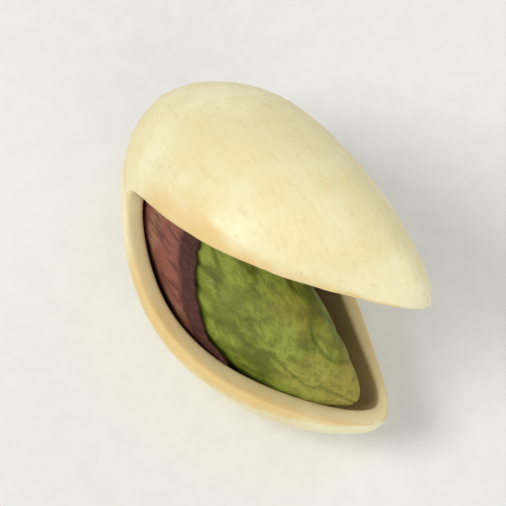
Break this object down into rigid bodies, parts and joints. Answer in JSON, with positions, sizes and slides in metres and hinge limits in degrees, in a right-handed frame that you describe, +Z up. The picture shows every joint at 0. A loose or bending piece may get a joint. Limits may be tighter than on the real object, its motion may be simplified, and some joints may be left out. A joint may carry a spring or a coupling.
{
  "type": "pistachio in shell",
  "caption": "Pistachio nut in its woody shell, split open at the mouth round a green kernel with a papery seed coat, lying on a small flat spot.",
  "frame": {"origin": "on the ground under the middle of the nut's box", "axes": "+X along the nut from its stem end to its mouth, +Z up, the wide side of the split faces -Y and looks up a little"},
  "size_m": [0.0184, 0.011, 0.0134],
  "materials": {
    "nut_shell": "satin",
    "nut_kernel": "matte",
    "seed_coat": "matte"
  },
  "bodies": {
    "root": {"shell": "nut_shell", "kernel": "nut_kernel", "seed_coat": "seed_coat"}
  },
  "joints": []
}
